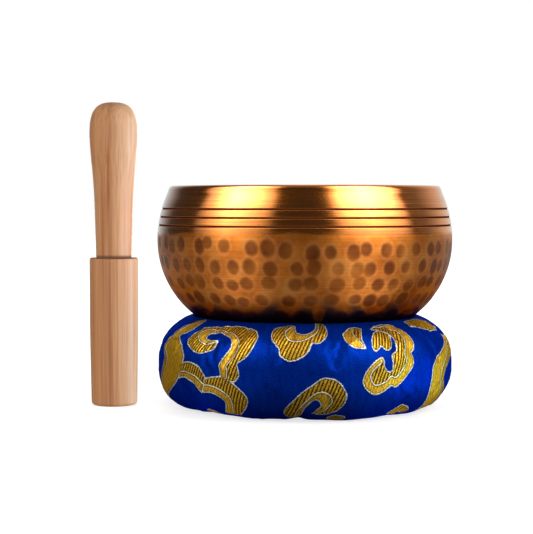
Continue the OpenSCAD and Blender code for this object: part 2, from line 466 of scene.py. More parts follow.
def hammered_bronze():
    """Cast bell bronze: turned and polished above, and hammered below, where blows hold a brown patina.

    The eye gets a gold mirror with fine rings round the rim, and a soft orange glow with dark marks.
    """
    material, tree = new_material("hammered_bell_bronze")
    mark, path, rough_zone, groove, inner = (
        node(tree, "Attribute", attribute_name=name).outputs["Fac"]
        for name in ("mark", "path", "hammered", "groove", "inner"))
    place_at = node(tree, "TexCoord").outputs["Object"]
    height_at = node(tree, "SeparateXYZ", {0: place_at}).outputs["Z"]
    # Turning marks: rings 0.2 to 1 mm apart, broken up slowly round the bowl.
    flat = node(tree, "VectorMath", {0: place_at, 1: (6, 6, 0)}, operation="MULTIPLY")
    ring_at = node(tree, "CombineXYZ", {"Z": path})
    ring_place = node(tree, "VectorMath", {0: flat, 1: ring_at}, operation="ADD")
    rings = node(tree, "TexNoise", {"Vector": ring_place, "Scale": 2.6, "Detail": 2.5, "Roughness": 0.65})
    # Patina: clouds 8 to 20 mm across, with finer mottling of 1 mm. It makes the marks' edges uneven.
    clouds = node(tree, "TexNoise", {"Vector": place_at, "Scale": 75.0, "Detail": 5.0, "Roughness": 0.62})
    centred = node(tree, "Math", {0: clouds, 1: -0.5}, operation="ADD")
    edge = node(tree, "Math", {0: centred, 1: 0.35, 2: mark}, operation="MULTIPLY_ADD")
    inside = node(tree, "MapRange", {
        "Value": edge, "From Min": 1.14, "From Max": 0.6}, interpolation_type="SMOOTHSTEP")
    # Handling has rubbed some of the marks paler than others.
    worn = node(tree, "TexNoise", {"Vector": place_at, "Scale": 60.0, "Detail": 1.0})
    worn = node(tree, "MapRange", {
        "Value": worn, "From Min": 0.38, "From Max": 0.64, "To Min": 1.0, "To Max": 0.6})
    # Painted highlight: a paler rim round each blow, where its raised edge would catch the light.
    rim_glint_rise = node(tree, "MapRange", {
        "Value": mark, "From Min": 0.85, "From Max": 1.08}, interpolation_type="SMOOTHSTEP")
    rim_glint_fall = node(tree, "MapRange", {
        "Value": mark, "From Min": 1.5, "From Max": 1.08}, interpolation_type="SMOOTHSTEP")
    # Painted shade: the bowl is darkened towards the bottom, where it sits in the cushion.
    low_shade_band = node(tree, "MapRange", {
        "Value": height_at, "From Min": 0.049, "From Max": 0.0382}, interpolation_type="SMOOTHSTEP")
    # A few casting pits, about half a millimetre across, hold dirt.
    pits = node(tree, "TexVoronoi", {"Vector": place_at, "Scale": 210.0, "Randomness": 1.0})
    pit_pick = node(tree, "SeparateColor", {"Color": pits.outputs["Color"]})
    pit_rare = node(tree, "Math", {0: pit_pick, 1: 0.93}, operation="GREATER_THAN")
    pit_near = node(tree, "Math", {0: pits.outputs["Distance"], 1: 0.055}, operation="LESS_THAN")
    masks = []
    for share, *factors in (
            (inside, rough_zone, worn), (rim_glint_rise, rim_glint_fall, rough_zone, 0.14),
            (low_shade_band, rough_zone, 0.94), (pit_rare, pit_near, 0.8)):
        for factor in factors:
            share = node(tree, "Math", {0: share, 1: factor}, operation="MULTIPLY")
        masks.append(share)
    inside, painted_rim_glint, painted_low_shade, pit = masks
    oxide = node(tree, "MapRange", {
        "Value": groove, "From Min": 0.52, "From Max": 0.2}, interpolation_type="SMOOTHSTEP")
    base = node(tree, "ValToRGB", {"Fac": rings}, ramp=[
        (0.3, "#D87626"), (0.5, "#F08A30"), (0.72, "#FB9E40")])
    ground = node(tree, "ValToRGB", {"Fac": clouds}, ramp=[
        (0.3, "#B85C1C"), (0.5, "#E6842E"), (0.7, "#F6A04A")])
    dark = node(tree, "ValToRGB", {"Fac": clouds}, ramp=[(0.3, "#6E3414"), (0.68, "#A8602C")])
    # The inside is left paler and duller, and the light that it throws about turns it red enough.
    hollow = node(tree, "ValToRGB", {"Fac": rings}, ramp=[(0.3, "#C99A62"), (0.7, "#E0B47C")])
    # The lathe's fine rings cross the hammered part too.
    streak = node(tree, "MapRange", {
        "Value": rings, "From Min": 0.3, "From Max": 0.7, "To Min": 0.8, "To Max": 1.1})
    streak = node(tree, "Mix", {0: rough_zone, 2: 1.0, 3: streak}, data_type="FLOAT")
    for share, colour, blend in (
            # The pale orange on the next line is a painted highlight round each blow.
            (rough_zone, ground, "MIX"), (inside, dark, "MIX"), (painted_rim_glint, linear("#FFC080"), "MIX"),
            # The dark brown on the next line is painted shade at the bottom of the bowl.
            (1.0, streak, "MULTIPLY"), (painted_low_shade, linear("#3A1206"), "MIX"),
            (pit, linear("#3A1A08"), "MIX"), (inner, hollow, "MIX"), (oxide, linear("#582410"), "MIX")):
        base = node(tree, "Mix", {0: share, 6: base, 7: colour}, data_type="RGBA", blend_type=blend)
    rough = node(tree, "MapRange", {
        "Value": rings, "From Min": 0.3, "From Max": 0.7, "To Min": 0.11, "To Max": 0.19})
    for share, value in ((rough_zone, 0.34), (inside, 0.38), (oxide, 0.6), (inner, 0.27)):
        rough = node(tree, "Mix", {0: share, 2: rough, 3: value}, data_type="FLOAT")
    coat = 1.0
    for share, value in ((rough_zone, 0.12), (oxide, 0.0), (inner, 0.1)):
        coat = node(tree, "Mix", {0: share, 2: coat, 3: value}, data_type="FLOAT")
    height = node(tree, "Math", {0: rings, 1: 0.00003}, operation="MULTIPLY")
    uneven = node(tree, "Math", {0: clouds, 1: rough_zone}, operation="MULTIPLY")
    height = node(tree, "Math", {0: uneven, 1: 0.00006, 2: height}, operation="MULTIPLY_ADD")
    bump = node(tree, "Bump", {"Height": height, "Strength": 0.5, "Distance": 1.0})
    # Oxide keeps its own brown where the light only grazes it, so neither it nor the low part turns blue.
    browned = node(tree, "MapRange", {
        "Value": height_at, "From Min": 0.062, "From Max": 0.046}, interpolation_type="SMOOTHSTEP")
    browned = node(tree, "Math", {0: browned, 1: oxide}, operation="MAXIMUM")
    tint = node(tree, "Mix", {
        0: browned, 6: (1, 1, 1, 1), 7: linear("#F0B080")}, data_type="RGBA")
    metal = node(tree, "BsdfPrincipled", {
        "Base Color": base, "Metallic": 1.0, "Roughness": rough, "Normal": bump,
        "Anisotropic": 0.4, "Anisotropic Rotation": 0.25, "Coat Weight": coat, "Coat Roughness": 0.08,
        "Specular Tint": tint,
        "Tangent": node(tree, "Tangent", direction_type="RADIAL", axis="Z")})
    node(tree, "OutputMaterial", {"Surface": metal})
    return material


def make_bowl(turning, hammering):
    """Turned first, then given the values that its material reads, and then hammered."""
    profile = bowl_profile()
    path = lengths(profile)
    bronze = hammered_bronze()
    made = turned("bowl_work", profile, path, BOWL_SEGMENTS, 0.0, bronze, turning)
    plain = bake(made, "bowl_plain")
    points = read_points(plain.data)
    s = read_values(plain.data, "path")
    z = points[:, 2]
    lip_at = path[np.argmax(profile[:, 1])]
    outside = s < lip_at
    base_edge = path[np.argmin(np.abs(profile[:, 0] - BASE_R) + (profile[:, 1] - BASE_Z) ** 2)]
    spin = np.arctan2(points[:, 1], points[:, 0])
    wander = 0.45 * np.sin(3 * spin + 1) + 0.35 * np.sin(7 * spin) + 0.25 * np.sin(23 * spin + 2)
    hammered = smooth(POLISH_END_Z + wander - z, -1.1, 1.1) * outside
    write_values(plain.data, "hammered", hammered * smooth(s, base_edge - 3, base_edge))
    write_values(plain.data, "inner", smooth(s, lip_at + 0.5, lip_at + 3))
    write_values(plain.data, "groove", np.where(
        outside, np.min(np.abs(z[:, None] - np.array(GROOVE_Z)[None, :]), 1), 9.0))
    blows = hammer_blows()
    add_tree(plain, hammering, {"Blows": blows, "Depth": BLOW_DEPTH * MM, "Material": bronze})
    bowl = bake(plain, "hammered_bowl")
    bpy.data.objects.remove(blows)
    place(bowl, "bowl", "bowl", "hammered_bronze")
    return bowl


# ---------------------------------------------------------------- mallet

def mallet_profile():
    """(radius, height) from the middle of the foot, up the grip, over its step, and over the head."""
    u = np.linspace(0, 1, 60)
    # Half of the swelling is even, and the rest comes close under the head.
    swell = (NECK_D + (HEAD_D - NECK_D) * (u + smooth(u, 0, 1) ** 3.7) / 2) / 2
    neck = np.stack([swell, GRIP_L + (HEAD_Z - GRIP_L) * u], 1)
    v = np.sin(np.linspace(0, math.pi / 2, 34))
    dome_r = HEAD_D / 2 * np.clip(1 - v ** HEAD_FULLNESS, 0, 1) ** (1 / HEAD_FULLNESS)
    dome = np.stack([dome_r, HEAD_Z + (MALLET_L - HEAD_Z) * v], 1)
    return joined(
        line((0.0, 0.0), (FOOT_R - FOOT_EDGE, 0.0), 1.6),
        arc(FOOT_R - FOOT_EDGE, FOOT_EDGE, FOOT_EDGE, -90, 0, 0.25),
        line((FOOT_R, FOOT_EDGE), (GRIP_R, GRIP_L / 2), 1.2),
        line((GRIP_R, GRIP_L / 2), (GRIP_R, GRIP_L - STEP_EDGE), 1.2),
        arc(GRIP_R - STEP_EDGE, GRIP_L - STEP_EDGE, STEP_EDGE, 0, 90, 0.18),
        line((GRIP_R - STEP_EDGE, GRIP_L), (NECK_D / 2, GRIP_L), 0.4), neck, dome)


def turned_beech():
    """Beech, turned and sanded.

    The eye gets pale pinkish wood with straight grain along the stick and a silky surface.
    """
    material, tree = new_material("turned_beech")
    place_at = node(tree, "TexCoord").outputs["Object"]
    # The growth rings stand 2 to 4 mm apart, nearly flat over so thin a stick, and run along it.
    centred = node(tree, "Mapping", {
        "Vector": place_at, "Location": (-MALLET_X * MM, 0.0, 0.0)}, vector_type="POINT")
    ring_at = node(tree, "VectorMath", {0: centred, 1: (1, 0.35, 0.012)}, operation="MULTIPLY")
    rings = node(tree, "TexNoise", {
        "Vector": ring_at, "Scale": 360.0, "Detail": 3.0, "Roughness": 0.5})
    # Fibres: about 0.1 mm across in the wood, drawn at 0.4 to 0.8 mm so that they show.
    fibre_at = node(tree, "VectorMath", {0: centred, 1: (1, 1, 0.01)}, operation="MULTIPLY")
    fibre = node(tree, "TexNoise", {
        "Vector": fibre_at, "Scale": 1300.0, "Detail": 2.0, "Roughness": 0.6})
    wood = node(tree, "ValToRGB", {"Fac": rings}, ramp=[
        (0.3, "#B67646"), (0.44, "#C98E60"), (0.56, "#D29B6E"), (0.7, "#DAA67C")])
    # One darker ring comes to the surface on the upper half of the front.
    at = node(tree, "SeparateXYZ", {0: centred})
    bend = node(tree, "Math", {0: at.outputs["Z"], 1: -0.03, 2: 0.0042}, operation="MULTIPLY_ADD")
    off = node(tree, "Math", {
        0: node(tree, "Math", {0: at.outputs["X"], 1: bend}, operation="ADD")}, operation="ABSOLUTE")
    vein = node(tree, "MapRange", {
        "Value": off, "From Min": 0.0009, "From Max": 0.0001}, interpolation_type="SMOOTHSTEP")
    top_fade = node(tree, "MapRange", {
        "Value": at.outputs["Z"], "From Min": 0.112, "From Max": 0.1}, interpolation_type="SMOOTHSTEP")
    low_fade = node(tree, "MapRange", {
        "Value": at.outputs["Z"], "From Min": 0.062, "From Max": 0.085}, interpolation_type="SMOOTHSTEP")
    for factor in (top_fade, low_fade, 0.6):
        vein = node(tree, "Math", {0: vein, 1: factor}, operation="MULTIPLY")
    wood = node(tree, "Mix", {0: vein, 6: wood, 7: linear("#B0581A")}, data_type="RGBA")
    # A dark brown line is painted round the neck just above the grip's step.
    step_dark = node(tree, "MapRange", {
        "Value": at.outputs["Z"], "From Min": (GRIP_L + 1.6) * MM, "From Max": (GRIP_L + 0.1) * MM},
        interpolation_type="SMOOTHSTEP")
    above = node(tree, "Math", {0: at.outputs["Z"], 1: (GRIP_L - 0.35) * MM}, operation="GREATER_THAN")
    for factor in (above, 0.9):
        step_dark = node(tree, "Math", {0: step_dark, 1: factor}, operation="MULTIPLY")
    wood = node(tree, "Mix", {0: step_dark, 6: wood, 7: linear("#5E3010")}, data_type="RGBA")
    fine = node(tree, "ValToRGB", {"Fac": fibre}, ramp=[(0.3, "#D8BC9C"), (0.6, "#FFFFFF")])
    base = node(tree, "Mix", {0: 0.55, 6: wood, 7: fine}, data_type="RGBA", blend_type="MULTIPLY")
    height = node(tree, "Math", {0: fibre, 1: 0.00004}, operation="MULTIPLY")
    bump = node(tree, "Bump", {"Height": height, "Strength": 0.6, "Distance": 1.0})
    rough = node(tree, "MapRange", {
        "Value": fibre, "From Min": 0.3, "From Max": 0.7, "To Min": 0.5, "To Max": 0.62})
    shader = node(tree, "BsdfPrincipled", {
        "Base Color": base, "Roughness": rough, "Normal": bump, "IOR": 1.5, "Specular IOR Level": 0.3})
    node(tree, "OutputMaterial", {"Surface": shader})
    return material


def make_mallet(turning):
    profile = mallet_profile()
    work = turned("mallet_work", profile, lengths(profile), 128, MALLET_X, turned_beech(), turning)
    mallet = bake(work, "turned_mallet")
    place(mallet, "mallet", "mallet", "turned_wood")
    # The bronze doesn't mirror the stick.
    mallet.visible_glossy = False
    return mallet


# ---------------------------------------------------------------- cushion

def ring_outline(step):
    """(radius, height) of the ring's skin: from the slit in the hole, down, round outside, and back."""
    seat_r = LOWER_ARC_R + SEAT_GAP

    def crossing(x, z, corner_r, side):
        """Where a rounded corner meets the seat: the angle there on the corner, and on the seat."""
        gap = math.dist((x, z), (BASE_R, BELLY_Z))
        cosine = (corner_r ** 2 + gap ** 2 - seat_r ** 2) / (2 * corner_r * gap)
        angle = math.atan2(BELLY_Z - z, BASE_R - x) + side * math.acos(min(1.0, cosine))
        meets = (x + corner_r * math.cos(angle), z + corner_r * math.sin(angle))
        return math.degrees(angle), math.degrees(math.atan2(meets[1] - BELLY_Z, meets[0] - BASE_R))

    crest_x, crest_z = RING_R - TOP_ROUND, RING_H - TOP_ROUND
    crest_end, seat_start = crossing(crest_x, crest_z, TOP_ROUND, -1)
    hole_x, hole_z = HOLE_R + HOLE_ROUND, HOLE_TOP - HOLE_ROUND
    hole_start, seat_end = crossing(hole_x, hole_z, HOLE_ROUND, 1)
    return joined(
        line((HOLE_R, SLIT_Z - SLIT_W / 2), (HOLE_R, HOLE_ROUND), step),
        arc(hole_x, HOLE_ROUND, HOLE_ROUND, 180, 270, step),
        line((hole_x, 0), (RING_R - FOOT_ROUND, 0), step),
        arc(RING_R - FOOT_ROUND, FOOT_ROUND, FOOT_ROUND, -90, 0, step),
        line((RING_R, FOOT_ROUND), (RING_R, crest_z), step),
        arc(crest_x, crest_z, TOP_ROUND, 0, crest_end, step),
        arc(BASE_R, BELLY_Z, seat_r, seat_start, seat_end, step),
        arc(hole_x, hole_z, HOLE_ROUND, hole_start, 180, step),
        line((HOLE_R, hole_z), (HOLE_R, SLIT_Z + SLIT_W / 2), step))


OUTLINE = ring_outline(0.1)
OUTLINE_S = lengths(OUTLINE)
MID_WALL = (FOOT_ROUND + RING_H - TOP_ROUND) / 2
MID_WALL_S = OUTLINE_S[np.argmin(np.abs(OUTLINE[:, 0] - RING_R) * 100 + np.abs(OUTLINE[:, 1] - MID_WALL))]


def skin(at):
    """Points and outward directions of the ring's skin at these distances along its outline."""
    ahead = along(OUTLINE, np.clip(at + 0.6, 0, OUTLINE_S[-1]))
    behind = along(OUTLINE, np.clip(at - 0.6, 0, OUTLINE_S[-1]))
    way = ahead - behind
    way /= np.linalg.norm(way, axis=1)[:, None]
    return along(OUTLINE, at), np.stack([way[:, 1], -way[:, 0]], 1)


def off_skin(at, offset):
    """Radii and heights of places that stand off the ring's skin by offset, with a row for each spin."""
    points, out = skin(at)
    return points[None, :, 0] + offset * out[None, :, 0], points[None, :, 1] + offset * out[None, :, 1]


def spins(columns):
    """Angles round the ring. 0 is the front, on -Y, and they grow towards +X."""
    return np.arange(columns) * 2 * math.pi / columns


def round_ring(r, z, spin):
    """Points from radii and heights, where each row is at its own spin."""
    turn = spin[:, None] + 0 * r
    return np.stack([r * np.sin(turn), -r * np.cos(turn), z], 2).reshape(-1, 3)


def tube_faces(columns, rows):
    """Faces of a tube that goes round the ring and closes on itself, with rows round its section."""
    faces = []
    for c in range(columns):
        d = (c + 1) % columns
        for k in range(rows):
            n = (k + 1) % rows
            faces.append((c * rows + k, d * rows + k, d * rows + n, c * rows + n))
    return faces


# The brocade's scrolls, as a weaver would chart them: millimetres round the ring from its front, and up
# from the middle of its wall. A point given twice is a corner. Each scroll is its edge, its divider, and
# the side of the divider that is woven in ribs (1 left of the divider's direction, -1 right of it).
SCROLLS = [
    # hook
    ([(-39.5, 14), (-39.5, 14), (-41, 10), (-47.5, 8), (-54, 10.5), (-56.5, 14), (-54.5, 18.5),
      (-48.5, 21), (-34.5, 23), (-25, 21), (-21.5, 17.5), (-21.3, 14), (-23.5, 8.5), (-28, 5),
      (-28, 5), (-27, 0.5), (-29, -2.2), (-29, -2.2), (-35, -0.5), (-35, -0.5), (-36, 4), (-36, 4),
      (-33, 9.5), (-32, 12), (-33, 15), (-36, 17), (-40, 18.4), (-43.5, 18.5), (-46.5, 16),
      (-45.5, 14.2)],
     [(-41, 13), (-44.5, 12), (-49.5, 13.5), (-51.5, 16.5), (-49, 19), (-42.5, 20), (-35.5, 19),
      (-31, 16.5), (-29, 14), (-28.5, 10.5), (-29.5, 8), (-32.5, 4), (-32, 2), (-32.5, -1.5)], 1),
    # band on the left
    ([(-62, 25), (-69, 17), (-76, 9), (-76, 9), (-71, 4.5), (-71, 4.5), (-77.5, -4), (-84, -13),
      (-84, -13), (-80, -15.5), (-76, -12), (-67, -8), (-59, -3), (-55.5, 4), (-56.5, 8), (-64, 14),
      (-64, 14), (-58.5, 17), (-58, 24)],
     [(-61, 24), (-66.5, 16), (-72.5, 9), (-68, 4), (-74, -4.5), (-82, -13.5)], -1),
    # small arch
    ([(-56, 3), (-51, 4), (-46, 2.5), (-43.5, 0), (-42.5, -1.5), (-42.5, -1.5), (-45, -7.5),
      (-45, -7.5), (-49, -4), (-54, -2), (-58, -2.6), (-58, -2.6)],
     [(-57, 0), (-53.5, 0.2), (-48, -1), (-43.5, -4)], 1),
    # big arc
    ([(-42.5, -1.5), (-42.5, -1.5), (-37, -0.5), (-32.5, -1), (-27, -4.5), (-24, -8), (-25, -12),
      (-30, -18), (-30, -18), (-37.5, -17.5), (-37.5, -17.5), (-34.5, -12), (-35.5, -9), (-40, -7),
      (-44.5, -7.2), (-44.5, -7.2)],
     [(-44.5, -4.5), (-41.5, -4), (-36.5, -5), (-32.5, -7.5), (-31, -11), (-33.5, -18)], 1),
    # cloud at the top
    ([(-8, 24), (-13.5, 22), (-15.5, 19), (-14.5, 15), (-11.5, 11.5), (-11, 9), (-8.5, 7), (-6, 6.6),
      (-2.5, 8), (0, 10.5), (1.5, 14), (1.5, 14), (4.5, 14), (7.5, 17), (8.5, 21), (7, 26), (4, 27.5),
      (4, 27.5), (3.5, 22), (1, 19), (-2, 18), (-5, 19.5), (-6, 23.5), (-6, 23.5)],
     [(-7, 23), (-9.5, 19.5), (-8.5, 16), (-5, 14.5), (-2, 15), (0.5, 16.4), (3.5, 19), (5, 23),
      (4.8, 27)], -1),
    # comma
    ([(-10, -18), (-9, -13), (-5, -8), (-2, -5), (1.5, -2.5), (5, 0), (8.5, 0), (11.5, -1.5),
      (13.5, -4), (14.5, -7), (13.5, -10.5), (10.5, -14), (7, -15.5), (1.5, -16.2), (1.5, -16.2),
      (4, -13), (5, -10.5), (3.5, -8), (1, -9), (-2, -13), (-3, -18), (-6, -20)],
     [(-6, -19), (-4, -13), (-1, -9), (1.5, -6.5), (4.5, -5), (7.5, -6), (9, -8), (8.5, -10.5),
      (6, -13.5)], 1),
    # leaf
    ([(15.5, 19), (15.5, 15), (18, 12), (23, 11), (23, 11), (22.5, 16), (24.5, 21), (24.5, 21),
      (20.5, 22.5)],
     [(20.5, 22), (19.6, 18), (22, 12.5)], 1),
    # cloud on the right, and the curl inside it
    ([(33, 22.5), (41, 23), (45.5, 19), (47.5, 14), (46.5, 10), (44.5, 8.5), (44.5, 8.5), (45.2, 6),
      (44.5, 3), (41.5, 0), (36, -4), (33, -3.5), (33, -3.5), (29, -6), (25.5, -6.5), (22, -4),
      (21, -1.5), (22, 1.5), (25, 5), (29, 7.2), (30, 6), (30, 6), (30, 4), (31.5, 1.8), (33.5, 2.2),
      (34.2, 5.5), (34, 8), (34, 8), (37.5, 10), (38.2, 14), (36.5, 17), (33.5, 19.3), (29, 20.5),
      (29, 20.5)],
     [(31, 21.6), (38, 21.2), (42, 18.5), (43, 15), (42.5, 12), (40.5, 8), (41, 5), (38.5, 2),
      (35.5, -0.5), (33, 0), (30.5, -2), (26, -3), (24, 0), (25, 2.5), (28.5, 5)], -1),
    ([(33.5, 19), (30, 18.5), (27, 15), (26, 11.5), (27.3, 9.8), (30, 12), (30, 12), (32, 10),
      (34.3, 10.8), (36.2, 14), (36, 17)],
     [], 1),
    # leaf and band on the right
    ([(55, 24), (70, 25), (78.5, 22), (83, 17.5), (83, 17.5), (76, 16.2), (67, 17), (59.5, 20)],
     [], -1),
    ([(79.5, 14), (79.5, 14), (77, 11), (67, 7.5), (57.5, 3), (55.5, -2), (54.5, -7), (56, -18),
      (56, -18), (66, -19), (75, -16), (70.5, -9), (67, -4), (70, 0), (80, 4), (89, 7.5), (90, 11),
      (90, 11)],
     [(87, 11), (78, 8), (68, 3), (63.5, -3), (66, -9), (68, -17)], 1),
    # tips of the scrolls under the edge
    ([(-51, -20), (-48, -17.2), (-45.5, -16.5), (-43.3, -18), (-42, -21)],
     [], 1),
    ([(37, -18), (40.5, -14.5), (45.5, -14.3), (48.8, -17), (44, -20)],
     [], 1),
    ([(8.5, -17.6), (11, -16.2), (15.5, -17), (15, -20), (9, -20)],
     [], 1),
]
# The pattern comes twice round the ring.
REPEAT_MM = math.pi * RING_R
# The chart keeps distances up to this many millimetres.
CHART_REACH = 3.0


def curve_through(points, closed):
    """A smooth line through the points, with a corner wherever a point is given twice."""
    points = [np.array(p, float) for p in points]
    if closed:
        doubled = [i for i in range(len(points)) if np.allclose(points[i], points[i - 1])]
        if doubled:
            points = points[doubled[0]:] + points[:doubled[0]]
        points = points + [points[0]]
    runs, run = [], [points[0]]
    for p in points[1:]:
        if np.allclose(p, run[-1]):
            runs.append(run)
            run = [p]
        else:
            run.append(p)
    runs.append(run)
    whole_loop = closed and len(runs) == 1
    out = []
    for run in runs:
        if len(run) < 2:
            continue
        if whole_loop:
            padded = [run[-2]] + run + [run[1]]
        else:
            padded = [2 * run[0] - run[1]] + run + [2 * run[-1] - run[-2]]
        for i in range(1, len(padded) - 2):
            out += [between(*padded[i - 1:i + 3], t) for t in np.linspace(0, 1, 6)[:-1]]
        out.append(run[-1])
    return np.array(out)


def to_line(points, curve):
    """Each point's distance to the curve, and the side of it that the point is on (1 is left)."""
    start, way = curve[:-1], np.diff(curve, axis=0)
    size = np.maximum((way ** 2).sum(1), 1e-12)
    offset = points[:, None, :] - start[None, :, :]
    t = np.clip((offset * way[None]).sum(2) / size[None], 0, 1)
    gap = offset - t[:, :, None] * way[None]
    distance = np.linalg.norm(gap, axis=2)
    k = distance.argmin(1)
    row = np.arange(len(points))
    cross = way[k, 0] * offset[row, k, 1] - way[k, 1] * offset[row, k, 0]
    return distance[row, k], np.where(cross >= 0, 1.0, -1.0)


def inside(points, curve):
    """True where a point lies inside the closed curve."""
    x, y = points[:, :1], points[:, 1:]
    a, b = curve[:-1], curve[1:]
    crosses = (a[:, 1] > y) != (b[:, 1] > y)
    rise = np.where(np.abs(b[:, 1] - a[:, 1]) < 1e-9, 1e-9, b[:, 1] - a[:, 1])
    at = a[:, 0] + (y - a[:, 1]) * (b[:, 0] - a[:, 0]) / rise
    return (crosses & (x < at)).sum(1) % 2 == 1


def chart(u, v):
    """The brocade's pattern at each place: distance inside a scroll's edge, and from its divider."""
    scroll = np.full(len(u), -CHART_REACH)
    lane = np.full(len(u), CHART_REACH)
    for edge, divider, side in SCROLLS:
        curve = curve_through(edge, True)
        low, high = curve.min(0) - CHART_REACH, curve.max(0) + CHART_REACH
        for shift in (0, REPEAT_MM, -REPEAT_MM, 2 * REPEAT_MM):
            near = (u - shift > low[0]) & (u - shift < high[0]) & (v > low[1]) & (v < high[1])
            if not near.any():
                continue
            points = np.stack([u[near] - shift, v[near]], 1)
            distance, _ = to_line(points, curve)
            signed = np.where(inside(points, curve), distance, -distance)
            better = signed > scroll[near]
            target = np.flatnonzero(near)[better]
            scroll[target] = signed[better]
            if divider:
                off, way = to_line(points[better], curve_through(divider, False))
                lane[target] = np.clip(off * way * side, -CHART_REACH, CHART_REACH)
            else:
                lane[target] = CHART_REACH
    return np.clip(scroll, -CHART_REACH, CHART_REACH), lane


def waves(seed, u, v, count, low, high):
    """Soft seeded lumps, about -1 to 1, with whole numbers of waves round the ring."""
    pick = np.random.default_rng(seed)
    total = np.zeros(np.broadcast(u, v).shape)
    for _ in range(count):
        n = pick.integers(low, high + 1)
        m = pick.uniform(-0.09, 0.09)
        total += np.sin(n * u / RING_R + m * v + pick.uniform(0, 2 * math.pi))
    return total / math.sqrt(count)


def gathers(spin, r):
    """How deep the folds are that run out from the drawn-in edges at the hole."""
    pick = np.random.default_rng(11)
    total = np.zeros(spin.shape)
    for i in range(GATHER_COUNT):
        centre = (i + pick.uniform(-0.3, 0.3)) * 2 * math.pi / GATHER_COUNT
        strength = pick.uniform(0.45, 1.0)
        reach = pick.uniform(8, 20)
        away = (spin - centre + math.pi) % (2 * math.pi) - math.pi
        width = 0.045 + 0.0016 * (r - HOLE_R)
        total += strength * np.exp(-(away / width) ** 2) * np.exp(-((r - HOLE_R) / reach) ** 2)
    return total


def eased(values, where):
    """Rows of values, read between each other on smooth curves. The last row is followed by the first."""
    low = np.floor(where).astype(int)
    return between(*[values[(low + k) % len(values)] for k in (-1, 0, 1, 2)], (where - low)[:, None])


def puff_cloth():
    """Blows the cover up as cloth, and gives how far each place moved off its first shape, outwards.

    The cloth is cut a little long, so it wrinkles. It is held firmly at the slit and where the bowl sits,
    and lightly under the ring.
    """
    at = np.linspace(0, OUTLINE_S[-1], PUFF_ROWS)
    spin = spins(PUFF_COLUMNS)
    points, out = skin(at)
    v = at - MID_WALL_S
    u = spin[:, None] * RING_R
    near_slit = smooth(np.minimum(at, OUTLINE_S[-1] - at), 3, 9)
    folds = gathers(spin[:, None] + 0 * v, points[None, :, 0] + 0 * u)
    start = (waves(3, u, v[None, :], 7, 3, 9) * 0.3 - folds - 0.6) * near_slit[None, :]
    # 1 is held fast, and 0 is free.
    held = 1 - smooth(np.abs(v), 50, 40) * smooth(v, 26, 20)
    held = np.clip(held * np.where(v > 0, 1.0, np.where(near_slit < 0.5, 1.35, 0.35)), 0, 1)
    first = round_ring(*off_skin(at, start), spin)
    bag = new_object("cloth_bag", first * PUFF_SCALE, tube_faces(PUFF_COLUMNS, PUFF_ROWS))
    group = bag.vertex_groups.new(name="held")
    for k in range(PUFF_ROWS):
        group.add([c * PUFF_ROWS + k for c in range(PUFF_COLUMNS)], float(held[k]), "REPLACE")
    cloth = bag.modifiers.new("cloth", "CLOTH")
    for name, value in {
            "quality": 6, "mass": 0.3, "tension_stiffness": 12, "compression_stiffness": 12,
            "shear_stiffness": 4, "bending_stiffness": 0.4, "vertex_group_mass": "held",
            "shrink_min": -0.03, "use_pressure": True, "uniform_pressure_force": 4}.items():
        setattr(cloth.settings, name, value)
    cloth.settings.effector_weights.gravity = 0
    cloth.collision_settings.use_collision = False
    for step in range(1, PUFF_FRAMES + 1):
        bpy.context.scene.frame_set(step)
    graph = bpy.context.evaluated_depsgraph_get()
    blown = bpy.data.meshes.new_from_object(bag.evaluated_get(graph))
    move = read_points(blown) / PUFF_SCALE - first
    bpy.context.scene.frame_set(1)
    bpy.data.objects.remove(bag)
    bpy.data.meshes.remove(blown)
    way = round_ring(out[None, :, 0] + 0 * start, out[None, :, 1] + 0 * start, spin)
    swell = (move * way).sum(1).reshape(PUFF_COLUMNS, PUFF_ROWS)
    even = swell.mean(0)[None, :]
    return np.clip(swell - even, -PUFF_CAP, PUFF_CAP) + PUFF_SWELL * np.tanh(even / 2)


PUFF = puff_cloth()


def cushion_offset(spin, at):
    """How many millimetres the skin stands off its plain ring, outwards, with a row for each spin."""
    u = spin[:, None] * RING_R
    v = (at - MID_WALL_S)[None, :] + 0 * u
    lumps = waves(3, u, v, 7, 3, 9) * 0.35 + waves(5, u, v, 9, 10, 24) * 0.1
    # The skin keeps to the plain ring where it is pressed: under the bowl, and on the underside.
    free = smooth(np.abs(v), 60, 44) * smooth(v, 27, 20)
    near_slit = smooth(np.minimum(at, OUTLINE_S[-1] - at), 0.8, 4.0)[None, :]
    folds = gathers(spin[:, None] + 0 * v, skin(at)[0][None, :, 0] + 0 * u) * near_slit * 1.1
    puff = 0
    if PUFF is not None:
        rows_at = np.asarray(at, float) / OUTLINE_S[-1] * (PUFF_ROWS - 1)
        puff = eased(eased(PUFF, spin / (2 * math.pi) * PUFF_COLUMNS).T, rows_at).T
    # A soft fold stands up in the wall, right of the front.
    fold_at = (u + RING_R * math.pi) % (2 * RING_R * math.pi) - RING_R * math.pi
    ridge = 0.8 * np.exp(-((fold_at - 54.0 + 0.12 * v) / 6.0) ** 2) * smooth(np.abs(v), 26, 8)
    return (lumps - 0.45 + ridge + puff) * free - folds


